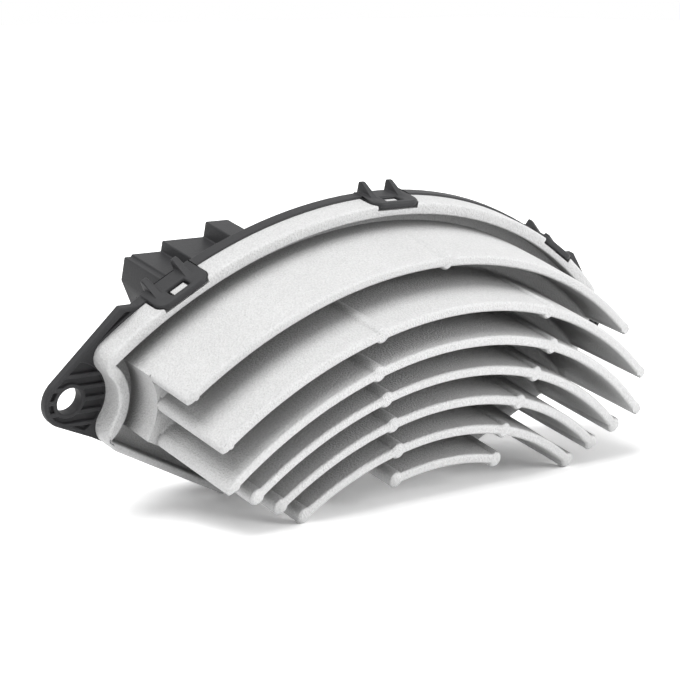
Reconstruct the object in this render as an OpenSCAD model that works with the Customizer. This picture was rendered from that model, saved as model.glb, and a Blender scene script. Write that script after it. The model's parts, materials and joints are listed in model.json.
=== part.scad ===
// Blower motor resistor: an electronic regulator on an arch-shaped, die-cast heat sink.
// X runs along the part, Z up the arch and Y towards the back, so the fins point to -Y.
// The origin lies midway between the two ear holes, on the seating face of the ears.
// All outlines are drawn about the axis of the arch, which the rim and every fin share.

/* [Casting] */
// Outer radius of the rim along the arch
rim_r = 86.4; // [85.6:0.1:88]
// Thickness of the rim along the arch
rim_top_t = 2.3; // [1.8:0.1:2.8]
// Thickness of the rim at both ends
rim_side_t = 2.1; // [1.6:0.05:2.6]
// Thickness of the rim along the lower edges
rim_low_t = 1.4; // [1.3:0.1:2]
// Height of the rim in front of the back face
rim_h = 4.2; // [3.8:0.1:4.3]
// Rounding of the rim's upper end corners
rim_upper_corner_r = 3; // [2:0.1:4]
// Rounding of the rim's lower end corners
rim_lower_corner_r = 4.1; // [3:0.1:5]
// Radius of the hollow that the rim leaves around each ear hole
ear_hollow_r = 6.95; // [6.5:0.05:7.4]
// Distance of the lower edges below the ear holes
lower_edge_drop = 4.15; // [3.5:0.05:5]
// Slope of the lower edges
lower_edge_angle = 26.4; // [25:0.1:28]
// Width of the casting from the arch of the rim to the arched opening at the bottom
band_w = 41.4; // [40.8:0.1:42.4]
// Width of the groove between rim and plate along the arch
groove_top_w = 1.9; // [1.4:0.1:2.4]
// Width of the groove at both ends
groove_side_w = 2; // [1.6:0.1:2.6]
// Width of the groove along the lower edges
groove_low_w = 3; // [2.6:0.1:4]
// Metal left under the groove
groove_floor_t = 1.4; // [1:0.1:2]
// Height of the plate that carries the fins
plate_h = 9; // [8:0.1:10]
// Wall of the plate around the pocket in its back
plate_wall = 3.5; // [3:0.1:4]
// Depth of the pocket in the back of the plate
pocket_depth = 5.5; // [5:0.1:6]

/* [Fins] */
// Radial pitch of the fins
fin_pitch = 5.6; // [5.2:0.05:6]
// Height of the full fins above the plate
fin_h = 19.2; // [15:0.1:22]
// How much lower the second fin is than the full fins
second_fin_drop = 1.8; // [0:0.1:4]
// How much lower the outermost fin is than the full fins
outer_fin_drop = 9.5; // [5:0.1:11]
// Thickness of a fin at its tip
fin_tip_t = 1.8; // [1.4:0.05:2]
// Thickness of a fin at its root
fin_root_t = 2.5; // [2.1:0.05:2.8]
// Rounding of the two tip edges
fin_tip_round = 0.5; // [0.2:0.05:0.65]
// Fillet at the root of a fin
fin_root_fillet = 0.8; // [0.3:0.1:1.2]
// Radius of the ejector columns on the fins
column_r = 1.5; // [1.3:0.05:1.7]
// Chamfer on the end of a column
column_chamfer = 0.4; // [0.2:0.05:0.6]
// Step between the side of the plate and the outermost fin
fin_step = 0.15; // [0.1:0.05:0.4]
// Half angle between the end columns of the innermost fin
inner_fin_angle = 14.6; // [13:0.1:17]
// Angle of the column pair on the second fin
second_column_angle = 15.2; // [12:0.1:20]
// Angle of the column pair on the third fin
third_column_angle = 17.2; // [15:0.1:20]
// How much that angle falls with each further fin
column_angle_step = 1.1; // [0.8:0.05:1.3]

/* [Ears] */
// Angle of the ear holes from the top of the arch
ear_angle = 48.04; // [47.5:0.02:48.5]
// Distance of the ear holes inside the radius of the rim
ear_inset = 3.83; // [3.4:0.01:4.2]
// Radius of the ear holes
ear_hole_r = 2.35; // [2:0.05:2.6]
// Radius of the end of an ear
ear_r = 4.75; // [4.5:0.05:5.5]
// Radius of the collar around an ear hole
ear_collar_r = 3.1; // [2.8:0.05:3.3]
// Width of the border around the front pocket of an ear
ear_border = 0.9; // [0.7:0.1:1.1]
// Thickness of an ear beside its collar
ear_t = 1.5; // [1.3:0.1:2]
// Distance from an ear hole in to the shoulder of its upper edge
shoulder_in = 7.7; // [7:0.1:8]
// Height of that shoulder above the ear hole
shoulder_rise = 15.6; // [15:0.1:16]
// Distance from an ear hole to the inner end of its lower edge
ear_low_l = 12.3; // [11:0.1:13]
// How far that end lies inside the lower edge of the flange
ear_low_tuck = 0.3; // [0.2:0.1:0.6]
// Depth of the front pocket
ear_pocket_depth = 0.8; // [0.6:0.1:1]
// Pitch of the ribs in the front pocket
ear_rib_pitch = 2.2; // [2:0.1:3]
// Thickness of those ribs
ear_rib_t = 0.8; // [0.6:0.1:1.2]

/* [Housing] */
// How far the flange stands proud of the rim
flange_proud = 0.35; // [0.2:0.05:0.8]
// Thickness of the flange and of the collars in its ears
flange_t = 2.2; // [1.8:0.1:3]
// Wall of the tray behind the flange
tray_wall = 1.8; // [1.4:0.1:2.2]
// Back wall of the tray
tray_floor_t = 1.8; // [1.2:0.1:2.5]

/* [Latches] */
// Angle of the outer latches from the middle one
latch_angle = 30.8; // [29:0.1:32]
// Width of a latch loop
latch_w = 10.6; // [9.5:0.1:11.5]
// Reach of a loop in front of the flange
latch_reach = 4.4; // [4:0.1:4.6]
// Thickness of a loop
latch_t = 1.2; // [1:0.05:1.5]
// Rounding of the front corners of a loop
latch_corner_r = 2; // [1:0.1:2.5]
// Width of the window in a loop
latch_window_w = 3.8; // [3:0.1:4.4]
// Length of that window
latch_window_l = 1.9; // [1.4:0.1:2.1]
// Width of the bar in front of the window
latch_bar_w = 1.3; // [1:0.1:1.5]
// Room between a loop and the notch around it
latch_gap = 0.25; // [0.15:0.05:0.4]
// Distance between the two pointed ribs behind a loop
latch_rib_spacing = 6.4; // [6:0.1:7]
// Thickness of a pointed rib
latch_rib_t = 1.3; // [1:0.1:1.6]
// Height of a pointed rib
latch_rib_h = 1.6; // [1.2:0.1:2.4]
// How far the point of a rib runs in front of the flange
latch_rib_reach = 1.4; // [0.8:0.1:1.8]
// How far the ribs run behind the flange
latch_rib_back = 0.8; // [0.4:0.1:1.2]

/* [Socket] */
// Distance from the left ear hole to the left edge of the socket
socket_from_ear = 16.8; // [16:0.1:17.4]
// Width of the socket
socket_w = 21.3; // [21:0.1:22.5]
// Height of the lower edge of the socket above the ear holes
socket_rise = 5.3; // [4.8:0.1:5.8]
// Height of the socket up to its first stair
socket_h = 13.9; // [13.4:0.1:14.4]
// Width of the low stair at the left
stair_0_w = 1.4; // [1:0.1:3]
// How much lower that stair is
stair_0_drop = 0.4; // [0.2:0.1:1.2]
// Width of the low stair and the first one together
stair_1_w = 7.5; // [7:0.1:9]
// Rise of the second stair
stair_2_rise = 1.9; // [1.5:0.1:2.2]
// Width of the second stair
stair_2_w = 8.8; // [8:0.1:9.5]
// Rise of the third stair
stair_3_rise = 2.8; // [2.2:0.1:3]
// Height of the left side of the socket
socket_side_h = 4.6; // [4:0.1:5.4]
// Length of the sloped lower left corner along the part
socket_slope_w = 5.5; // [5:0.1:6]
// Depth of the socket behind the flange
socket_depth = 11.1; // [10:0.1:12]
// Wall of the socket
socket_wall = 1.5; // [1.2:0.1:1.8]

/* [Contacts] */
// Thickness of the contact metal
contact_t = 0.8; // [0.6:0.05:1]
// Width of the power blades
blade_w = 4.8; // [4:0.1:5.2]
// Width of the pins
pin_w = 1.5; // [1.2:0.1:1.8]
// Height of the row of blades above the lower edge of the socket
blade_row_z = 3.7; // [3.3:0.1:4]
// Height of the row of pins above the row of blades
pin_row_rise = 4.6; // [4.2:0.1:4.8]
// Distance between the two blades
blade_spacing = 7.4; // [7:0.1:7.8]
// Distance between the two pins
pin_spacing = 5; // [4.6:0.1:5.4]
// How far the blades sit to the right of the middle of the socket
blade_shift = 1.6; // [1:0.1:2]
// How far the pins sit to the right of the blades
pin_shift = 1.6; // [1:0.1:2]
// How far the contacts stay behind the mouth
contact_inset = 1.2; // [0.8:0.1:2]
// Width of the soldered tail of a contact
tail_w = 1.4; // [1:0.1:1.5]

/* [Electronics] */
// Thickness of the circuit board
board_t = 1.6; // [1.2:0.1:2]
// Room between the clamp and the board
board_gap = 0.8; // [0.5:0.1:1.2]
// Room around the edge of the board
board_edge_gap = 0.5; // [0.3:0.1:0.8]
// Width of a transistor
transistor_w = 10.4; // [9:0.1:11]
// Length of a transistor
transistor_l = 15.5; // [14:0.1:17]
// Thickness of a transistor
transistor_t = 4.6; // [4.4:0.1:5]
// Distance between the two transistors
transistor_spacing = 30; // [28:0.5:32]
// Height of the middle of the band above the middle of the transistors
transistor_drop = 3; // [2:0.1:4]
// Radius of the hole in a transistor
transistor_hole_r = 1.6; // [1.4:0.05:1.8]
// Distance of that hole from the upper end
transistor_hole_inset = 2.4; // [2.2:0.1:3]
// Pitch of the transistor leads
lead_pitch = 2.54; // [2.4:0.02:2.6]
// Width of a transistor lead
lead_w = 0.9; // [0.7:0.1:1.1]
// Thickness of a transistor lead
lead_t = 0.6; // [0.5:0.05:0.8]
// Distance from a transistor to the bend of its leads
lead_reach = 1.9; // [1.6:0.1:2.2]
// Thickness of the insulating pads
pad_t = 0.3; // [0.2:0.05:0.5]
// How far a pad stands out around its transistor
pad_margin = 1; // [0.5:0.1:1.5]
// Thickness of the clamp bar
clamp_t = 0.8; // [0.6:0.05:1]
// Width of the clamp bar
clamp_w = 7; // [6:0.1:7.4]
// How far the clamp bar reaches over each transistor beyond its middle
clamp_overlap = 4; // [3:0.1:5]
// Angle of the smoothing capacitor from the top of the arch
capacitor_angle = 20; // [18:0.5:22]
// Place of the smoothing capacitor across the board, from its lower to its upper edge
capacitor_share = 0.8; // [0.7:0.01:0.82]
// Height of the smoothing capacitor
capacitor_h = 5.2; // [4.8:0.1:6]
// Radius of the smoothing capacitor
capacitor_r = 3.15; // [2.5:0.05:3.5]
// How far the capacitor's foot stands out around it
capacitor_foot_margin = 0.15; // [0.1:0.05:0.4]
// Height of that foot
capacitor_foot_h = 0.8; // [0.6:0.1:1.2]
// Angle of the sense resistor from the top of the arch
sense_angle = 11.7; // [10:0.1:12.5]
// Place of the sense resistor across the board
sense_share = 0.86; // [0.7:0.01:0.88]
// Length of the sense resistor
sense_l = 10; // [8:0.1:11]
// Width of its strip
sense_w = 3; // [2:0.1:3.4]
// Height of the sense resistor
sense_h = 2.6; // [2:0.1:3.2]
// Thickness of its strip
sense_t = 0.8; // [0.5:0.05:1]
// Angle of both chips from the top of the arch, to either side
chip_angle = 11.7; // [11:0.1:13]
// Place of both chips across the board
chip_share = 0.35; // [0.32:0.01:0.38]
// Leads along each side of the control chip
control_chip_leads = 7; // [5:1:8]
// Leads along each side of the driver chip
driver_chip_leads = 4; // [3:1:5]
// Width of a chip
chip_w = 3.9; // [3.6:0.1:4.2]
// Height of a chip
chip_h = 1.5; // [1.2:0.1:1.8]
// Pitch of the chips' leads
chip_pitch = 1.27; // [1.2:0.01:1.3]
// Width of those leads
chip_lead_w = 0.4; // [0.3:0.05:0.5]
// Distance over the leads of both sides
chip_lead_span = 6; // [5.6:0.1:6.2]
// Height of those leads
chip_lead_h = 0.3; // [0.2:0.05:0.5]
// Angle of the suppressor diode from the top of the arch
diode_angle = 31; // [30:0.1:32]
// Place of the suppressor diode across the board
diode_share = 0.72; // [0.68:0.01:0.76]
// Length of the suppressor diode
diode_l = 7; // [6:0.1:7.4]
// Width of the suppressor diode
diode_w = 6; // [5:0.1:6.4]
// Height of the suppressor diode
diode_h = 2.3; // [2:0.1:2.6]
// How far its tabs reach
diode_tab_l = 0.6; // [0.4:0.1:1]
// Width of its tabs
diode_tab_w = 3; // [2:0.1:3.4]
// Thickness of its tabs
diode_tab_t = 0.4; // [0.2:0.05:0.6]
// Angle of the thermal fuse from the top of the arch, to the left
fuse_angle = 10; // [9:0.1:12]
// Place of the thermal fuse across the board
fuse_share = 0.69; // [0.66:0.01:0.74]
// Radius of the thermal fuse
fuse_r = 1.9; // [1.5:0.05:2.2]
// Length of the thermal fuse
fuse_l = 8; // [6:0.1:9]
// Length of its wires
fuse_wire_l = 2; // [1:0.1:2.4]
// Thickness of its wires
fuse_wire_t = 0.8; // [0.5:0.05:1]
// Angle of the row of ceramic capacitors from the top of the arch, to the left
ceramic_angle = 10.8; // [10:0.1:12]
// Place of that row across the board
ceramic_share = 0.52; // [0.5:0.01:0.55]
// Capacitors in the row
ceramic_count = 4; // [2:1:4]
// Pitch of the ceramic capacitors
ceramic_pitch = 4; // [3:0.1:4.4]
// Length of a ceramic capacitor
ceramic_l = 2; // [1.6:0.1:2.4]
// Width of a ceramic capacitor
ceramic_w = 1.25; // [0.8:0.05:1.4]
// Height of a ceramic capacitor
ceramic_h = 1; // [0.6:0.1:1.2]
// Angle of the row of chip resistors from the top of the arch
resistor_angle = 26.9; // [26:0.1:28]
// Place of that row across the board
resistor_share = 0.4; // [0.38:0.01:0.42]
// Resistors in the row
resistor_count = 5; // [3:1:5]
// Pitch of the chip resistors
resistor_pitch = 3.2; // [2.6:0.1:3.4]
// Length of a chip resistor
resistor_l = 2; // [1.6:0.1:2.4]
// Width of a chip resistor
resistor_w = 1.25; // [0.8:0.05:1.4]
// Height of a chip resistor
resistor_h = 0.5; // [0.4:0.05:0.7]

/* [Screws] */
// Radius of the clamp screw's shank
clamp_screw_r = 1.5; // [1.2:0.05:1.8]
// Radius of the clamp screw's head
clamp_head_r = 2.8; // [2.5:0.1:3.2]
// Height of the clamp screw's head
clamp_head_h = 1.8; // [1.4:0.1:2.2]
// Radius of the board screws' shanks
board_screw_r = 1; // [0.9:0.05:1.2]
// Radius of the board screws' heads
board_head_r = 2; // [1.8:0.1:2.4]
// Height of the board screws' heads
board_head_h = 1.4; // [1:0.1:1.8]
// Wall of the screw posts around their holes
post_wall = 2; // [1.6:0.1:2.4]
// Metal left under the holes of the posts
post_bottom_t = 1.5; // [1:0.1:2]
// Angle of the two lower board screws from the top of the arch
board_screw_angle = 35.6; // [34.5:0.1:36.5]
// Place of the two lower board screws across the board
board_screw_share = 0.555; // [0.52:0.005:0.58]
// Place of the upper board screw across the board
top_screw_share = 0.856; // [0.8:0.004:0.86]
// Room between a part and the hole it passes through
fit_gap = 0.1; // [0.05:0.05:0.2]

/* [Hidden] */
$fn = 96;

// Overshoot of cuts past the faces that they open
over = 1;
// A length past every edge of the part
far = 2 * rim_r;

// Right-hand ear hole, and the direction of the right-hand lower edge and its normal
ear = (rim_r - ear_inset) * [sin(ear_angle), cos(ear_angle)];
edge_dir = [cos(lower_edge_angle), sin(lower_edge_angle)];
edge_normal = [-sin(lower_edge_angle), cos(lower_edge_angle)];
lower_edge_d = ear * edge_normal - lower_edge_drop;
arch_r = rim_r - band_w;

// Facets of a round end corner
corner_steps = 8;

// Outlines as [arch radius, hollow radius, lower edge distance, bottom arch radius]
rim_outer = [rim_r, ear_hollow_r, lower_edge_d, arch_r];
rim_inner = rim_outer + [-rim_top_t, rim_side_t, rim_low_t, -2 * over];
plate = rim_outer + [-rim_top_t - groove_top_w, rim_side_t + groove_side_w, rim_low_t + groove_low_w, -over];
pocket = plate + [-plate_wall, plate_wall, plate_wall, plate_wall + over];
flange = rim_outer + [flange_proud, 0, 0, 0];
tray = pocket + [tray_wall, -tray_wall, -tray_wall, -tray_wall];
board = pocket + [-board_edge_gap, board_edge_gap, board_edge_gap, board_edge_gap];

// Depths along Y, from the seating face
pocket_y = -pocket_depth;
transistor_y = pocket_y + pad_t;
clamp_y = transistor_y + transistor_t;
board_y = clamp_y + clamp_t + board_gap;
board_top_y = board_y + board_t;
tray_y = board_top_y + capacitor_h + fit_gap;
tray_back_y = tray_y + tray_floor_t;
socket_floor_y = board_top_y + 2 * board_edge_gap;
socket_floor_t = socket_wall;
mouth_y = flange_t + socket_depth;
contact_y = mouth_y - contact_inset;
tail_y = board_y - contact_t;

// Fins, counted from the outermost one
outer_fin_r = plate[0] - fin_step - fin_root_t / 2;
fin_count = 1 + floor((outer_fin_r - fin_root_t / 2 - arch_r) / fin_pitch);

// Latches
flange_r = flange[0];
latch_floor_r = flange_r - latch_t;
latch_angles = [-latch_angle, 0, latch_angle];
latch_window_y = -latch_reach + latch_bar_w;
catch_h = latch_t - 2 * latch_gap;

// Ears: ends of the straight upper and lower edges, which touch the round end
ear_shoulder = ear + [-shoulder_in, shoulder_rise];
ear_low = edge_normal * (lower_edge_d + ear_low_tuck) + edge_dir * (ear * edge_dir - ear_low_l);

// Ribs above and below the middle of an ear, and facets of its round end
ear_ribs = 2;
ear_steps = 24;

// Socket and contacts, from the left ear hole
socket_left = ear.x - socket_from_ear;
socket_low_z = ear.y + socket_rise;
socket_top_z = socket_low_z + socket_h;
blade_x = -socket_left + socket_w / 2 + blade_shift;
pin_x = blade_x + pin_shift;
blade_z = socket_low_z + blade_row_z;
pin_z = blade_z + pin_row_rise;

// Electronics: the transistors and their clamp sit about the middle of the band
transistor_middle_z = (rim_r + arch_r) / 2 - transistor_drop;
transistor_z = transistor_middle_z - transistor_l / 2;
lead_z = transistor_z - lead_reach;
clamp_z = transistor_middle_z;
clamp_bore_r = clamp_screw_r + fit_gap / 2;
board_bore_r = board_screw_r + fit_gap / 2;
board_screw_places = [spot(-board_screw_angle, board_screw_share), spot(board_screw_angle, board_screw_share),
    spot(0, top_screw_share)];

// Helpers for outlines

// Direction of a vector, as an angle from +X
function heading(v) = atan2(v.y, v.x);

// Centre of the upper end corner: inside the arch and beside the ear hollow
function upper_corner(o, r) =
    let (d = norm(ear), inside = o[0] - r, beside = o[1] + r)
    let (along = (inside * inside - beside * beside + d * d) / (2 * d))
    let (across = sqrt(inside * inside - along * along))
    [ear.x * along - ear.y * across, ear.y * along + ear.x * across] / d;

// Centre of the lower end corner: above the lower edge and beside the ear hollow
function lower_corner(o, r) =
    let (height = ear * edge_normal - o[2] - r, beside = o[1] + r)
    let (along = ear * edge_dir - sqrt(beside * beside - height * height))
    edge_normal * (o[2] + r) + edge_dir * along;

// Place on the board, at an angle from the top of the arch and a share of the way across it from below
function spot(angle, share) = (board[3] + share * (board[0] - board[3])) * [sin(angle), cos(angle)];

// Half angle at which the end column of a fin stands
function fin_end_angle(r) =
    let (beside = plate[1] + column_r, d = norm(ear))
    let (cosine = (r * r + d * d - beside * beside) / (2 * r * d))
    let (at_hollow = cosine < 1 ? atan2(ear.x, ear.y) - acos(cosine) : 90)
    let (at_edge = acos((plate[2] + column_r) / r) - lower_edge_angle)
    min(at_hollow, at_edge);

function fin_r(k) = outer_fin_r - k * fin_pitch;
function fin_top(k) = plate_h + fin_h - (k == 0 ? outer_fin_drop : k == 1 ? second_fin_drop : 0);
function fin_half_angle(k) = k == fin_count - 1 ? inner_fin_angle : fin_end_angle(fin_r(k));

// Angles of the columns along a fin, between its two end columns
function column_angles(k) =
    k == 0 ? [0] :
    k == 1 ? [-second_column_angle, second_column_angle] :
    k == fin_count - 1 ? [] :
    let (a = third_column_angle - (k - 2) * column_angle_step) [-a, a];

// Where a line from a point touches the round end of an ear, as an angle from +X about the ear hole
function touch_heading(p, r, side) = heading(p - ear) + side * acos(r / norm(p - ear));

// Points of a round corner about a centre, from one angle to another
function round_corner(c, r, a0, a1, steps = 4) =
    [for (i = [0 : steps]) c + r * [cos(a0 + (a1 - a0) * i / steps), sin(a0 + (a1 - a0) * i / steps)]];

// Half section of a fin from root to tip, as [offset from the middle, height]
function fin_side(top, fillet) =
    concat(
        fillet > 0 ? round_corner([fin_root_t / 2 + fillet, plate_h + fillet], fillet, 270, 180) :
            [[fin_root_t / 2, plate_h]],
        round_corner([fin_tip_t / 2 - fin_tip_round, top - fin_tip_round], fin_tip_round, 0, 90));

// Placing helpers

// Puts the finished part with its origin between the ear holes
module placed() {
    translate([0, 0, -ear.y]) children();
}

// Extrudes an outline in X and Z from one depth to another
module deep(y0, y1) {
    translate([0, y1, 0]) rotate([90, 0, 0]) linear_extrude(height = y1 - y0) children();
}

// Turns a profile of [radius, height in front of the seating face] about a point of the outline
module turned(centre, from, to) {
    translate([centre.x, 0, centre.y])
        rotate([90, 0, 0])
            rotate([0, 0, from])
                rotate_extrude(angle = to - from) children();
}

// Turns a piece drawn at the top of the arch to its angle on the arch
module at_angle(angle) {
    rotate([0, angle, 0]) children();
}

// Repeats a shape on the left and on the right
module both_ends_2d() {
    for (m = [0, 1]) mirror([m, 0]) children();
}

module both_ends() {
    for (m = [0, 1]) mirror([m, 0, 0]) children();
}

// Block between two corners
module block(low, high) {
    translate(low) cube(high - low);
}

// Upright cylinder along Y at a place of the outline
module rod(at, r, y0, y1) {
    translate([at.x, y1, at.y]) rotate([90, 0, 0]) cylinder(r = r, h = y1 - y0);
}

// Everything above the two lower edges
module above_lower_edges(d) {
    foot = d / cos(lower_edge_angle);
    rise = far * tan(lower_edge_angle);
    polygon([[0, foot], [far, foot + rise], [far, 2 * far], [-far, 2 * far], [-far, foot + rise]]);
}

// Outline of the casting and of what lies inside it, between the arch, the ears and the lower edges
module outline(o) {
    difference() {
        circle(r = o[0]);
        difference() {
            translate([-far, -far]) square([2 * far, 2 * far]);
            above_lower_edges(o[2]);
        }
        both_ends_2d() translate(ear) circle(r = o[1]);
        circle(r = o[3]);
    }
}

// Casting

// What a round end corner of the rim takes off the sharp outline
module corner_cut(c, r, from, to) {
    p = round_corner(c, r, from, to, corner_steps);
    n = len(p) - 1;
    middle = (from + to) / 2;
    reach = 4 * r;
    polygon(concat([2 * p[0] - p[1]], [for (i = [1 : n - 1]) p[i]], [2 * p[n] - p[n - 1]],
        [c + reach * [cos(middle), sin(middle)]]));
}

// Outline of the rim with its round end corners
module rim_outline() {
    a = upper_corner(rim_outer, rim_upper_corner_r);
    b = lower_corner(rim_outer, rim_lower_corner_r);
    difference() {
        outline(rim_outer - [0, 0, 0, over]);
        both_ends_2d() {
            corner_cut(a, rim_upper_corner_r, heading(ear - a), heading(a));
            corner_cut(b, rim_lower_corner_r, heading(-edge_normal), heading(ear - b));
        }
    }
}

// Outline of a latch loop in its own plane, widened by a gap
module loop_outline(gap) {
    half = latch_w / 2 + gap;
    front = latch_reach + gap;
    corner = latch_corner_r + gap;
    translate([-half, -front + corner]) square([2 * half, front - corner + flange_t]);
    translate([-half + corner, -front]) square([2 * (half - corner), front]);
    both_ends_2d() translate([half - corner, -front + corner]) circle(r = corner);
}

// Notch in the rim for a loop, with the catch that the loop snaps over left standing
module latch_notch() {
    catch_w = latch_window_w - 4 * latch_gap;
    difference() {
        translate([0, 0, latch_floor_r - latch_gap]) linear_extrude(height = latch_t + rim_r)
            intersection() {
                loop_outline(latch_gap);
                translate([-far, -far]) square([2 * far, far]);
            }
        block([-catch_w / 2, latch_window_y + latch_gap, 0],
            [catch_w / 2, latch_window_y + latch_window_l - latch_gap, latch_floor_r + catch_h]);
    }
}

module fin(k) {
    r = fin_r(k);
    top = fin_top(k);
    half = fin_half_angle(k);
    right = [for (p = fin_side(top, k == 0 ? 0 : fin_root_fillet)) [r + p.x, p.y]];
    left = [for (p = fin_side(top, fin_root_fillet)) [r - p.x, p.y]];
    count = len(left);
    base = plate_h - fin_root_fillet;
    turned([0, 0], 90 - half, 90 + half)
        polygon(concat([[left[0].x, base], [right[0].x, base]], right,
            [for (i = [1 : count]) left[count - i]]));
    for (angle = concat([-half, half], column_angles(k))) column(r, angle, top);
}

// Ejector column that runs down a fin
module column(r, angle, top) {
    at_angle(angle) translate([0, -plate_h + fin_root_fillet, r]) rotate([90, 0, 0]) {
        shank = top - plate_h + fin_root_fillet - column_chamfer;
        cylinder(r = column_r, h = shank);
        translate([0, 0, shank])
            cylinder(r1 = column_r, r2 = column_r - column_chamfer, h = column_chamfer);
    }
}

// Post for a screw, from the floor of the pocket
module post(at, bore_r, y) {
    rod(at, bore_r + post_wall, pocket_y - over, y);
}

module post_bore(at, bore_r, y) {
    rod(at, bore_r, -plate_h + post_bottom_t, y + over);
}

module heat_sink() {
    clamp_at = [0, clamp_z];
    color("silver") placed() difference() {
        union() {
            difference() {
                union() {
                    difference() {
                        deep(-rim_h, 0) rim_outline();
                        deep(-rim_h - over, -groove_floor_t) outline(rim_inner);
                    }
                    deep(-plate_h, 0) outline(plate);
                }
                rod([0, 0], arch_r, -plate_h - over, over);
                deep(pocket_y, over) outline(pocket);
                for (angle = latch_angles) at_angle(angle) latch_notch();
            }
            for (k = [0 : fin_count - 1]) fin(k);
            post(clamp_at, clamp_bore_r, clamp_y - fit_gap);
            for (at = board_screw_places) post(at, board_bore_r, board_y);
        }
        post_bore(clamp_at, clamp_bore_r, clamp_y);
        for (at = board_screw_places) post_bore(at, board_bore_r, board_y);
    }
}

// Housing

// Right-hand ear from inside the flange to its round end, inset by a border
module ear_shape(inset) {
    r = ear_r - inset;
    high = ear_shoulder - [inset, inset];
    low = ear_low + [0, inset];
    polygon(concat([high - [shoulder_in, 0], high],
        round_corner(ear, r, touch_heading(high, r, -1), touch_heading(low, r, 1), ear_steps), [low]));
}

// Hollow in the front of an ear, between its border, its collar and the flange
module ear_pocket_outline() {
    difference() {
        ear_shape(ear_border);
        outline(flange + [fit_gap, -fit_gap, 0, 0]);
        translate(ear) circle(r = ear_collar_r);
        for (i = [-ear_ribs : ear_ribs])
            translate([0, ear.y + i * ear_rib_pitch - ear_rib_t / 2]) square([far, ear_rib_t]);
    }
}

// Stepped outline of the socket, inset by a wall
module socket_outline(inset) {
    left = -socket_left + inset;
    low = socket_low_z + inset;
    top = socket_top_z - inset;
    x0 = -socket_left + stair_0_w + inset;
    x1 = -socket_left + stair_1_w + inset;
    x2 = x1 + stair_2_w;
    right = -socket_left + socket_w - inset;
    corner = socket_top_z - socket_side_h + inset * tan(lower_edge_angle);
    polygon([[left, corner], [left, top - stair_0_drop], [x0, top - stair_0_drop], [x0, top], [x1, top],
        [x1, top + stair_2_rise], [x2, top + stair_2_rise], [x2, top + stair_2_rise + stair_3_rise],
        [right, top + stair_2_rise + stair_3_rise], [right, low], [left + socket_slope_w, low]]);
}

// Latch loop with its window and its two pointed ribs
module latch_loop() {
    difference() {
        translate([0, 0, latch_floor_r]) linear_extrude(height = latch_t) loop_outline(0);
        block([-latch_window_w / 2, latch_window_y, 0],
            [latch_window_w / 2, latch_window_y + latch_window_l, far]);
    }
    for (side = [-1, 1]) translate([side * latch_rib_spacing / 2 - latch_rib_t / 2, 0, 0]) pointed_rib();
}

module pointed_rib() {
    root = flange_r - latch_t / 2;
    top = flange_r + latch_rib_h;
    back = flange_t + latch_rib_back;
    rotate([90, 0, 90]) linear_extrude(height = latch_rib_t)
        polygon([[-latch_rib_reach, root], [back, root], [back, top], [back - latch_rib_t / 2, top],
            [-latch_rib_reach, flange_r]]);
}

// Slots for the contacts, as wide as they are plus a gap
module contact_cuts(width, gap, y0, y1) {
    for (c = contacts()) {
        half = [width > 0 ? width : c[1], contact_t] / 2 + [gap, gap];
        block([c[0].x - half.x, y0, c[0].y - half.y], [c[0].x + half.x, y1, c[0].y + half.y]);
    }
}

module housing() {
    color("dimgray") placed() difference() {
        union() {
            deep(0, flange_t) outline(flange);
            both_ends() {
                deep(0, ear_t) ear_shape(0);
                rod(ear, ear_collar_r, 0, flange_t);
            }
            deep(0, tray_back_y) outline(tray);
            deep(0, mouth_y) socket_outline(0);
            for (angle = latch_angles) at_angle(angle) latch_loop();
        }
        deep(-over, socket_floor_y) outline(pocket);
        deep(0, tray_y) difference() {
            outline(pocket);
            socket_outline(0);
        }
        deep(socket_floor_y + socket_floor_t, mouth_y + over) socket_outline(socket_wall);
        contact_cuts(0, fit_gap, 0, mouth_y);
        both_ends() {
            rod(ear, ear_hole_r, -over, flange_t + over);
            deep(-over, ear_pocket_depth) ear_pocket_outline();
        }
    }
}

// Contacts, as [place, width]
function contacts() = [
    [[blade_x - blade_spacing / 2, blade_z], blade_w],
    [[blade_x + blade_spacing / 2, blade_z], blade_w],
    [[pin_x - pin_spacing / 2, pin_z], pin_w],
    [[pin_x + pin_spacing / 2, pin_z], pin_w]];

// Flat contact with a soldered tail and a chamfered tip
module contact(c) {
    half = c[1] / 2;
    chamfer = contact_t / 2;
    translate([c[0].x, 0, c[0].y - contact_t / 2]) linear_extrude(height = contact_t)
        polygon([[-tail_w / 2, tail_y], [tail_w / 2, tail_y], [tail_w / 2, socket_floor_y],
            [half, socket_floor_y], [half, contact_y - chamfer], [half - chamfer, contact_y],
            [chamfer - half, contact_y], [-half, contact_y - chamfer], [-half, socket_floor_y],
            [-tail_w / 2, socket_floor_y]]);
}

module supply_blade() {
    color("goldenrod") placed() contact(contacts()[0]);
}

module motor_blade() {
    color("goldenrod") placed() contact(contacts()[1]);
}

module ground_pin() {
    color("goldenrod") placed() contact(contacts()[2]);
}

module signal_pin() {
    color("goldenrod") placed() contact(contacts()[3]);
}

// Electronics

module circuit_board() {
    lead_half = [lead_w, lead_t] / 2 + [fit_gap, fit_gap];
    color("darkgreen") placed() difference() {
        deep(board_y, board_top_y) outline(board);
        for (at = board_screw_places) rod(at, board_bore_r, board_y - over, board_top_y + over);
        rod([0, clamp_z], clamp_head_r + 2 * board_edge_gap, board_y - over, board_top_y + over);
        contact_cuts(tail_w, fit_gap, board_y - over, board_top_y + over);
        for (side = [-1, 1], i = [-1 : 1]) {
            x = side * transistor_spacing / 2 + i * lead_pitch;
            block([x - lead_half.x, board_y - over, lead_z - lead_half.y],
                [x + lead_half.x, board_top_y + over, lead_z + lead_half.y]);
        }
    }
}

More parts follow.
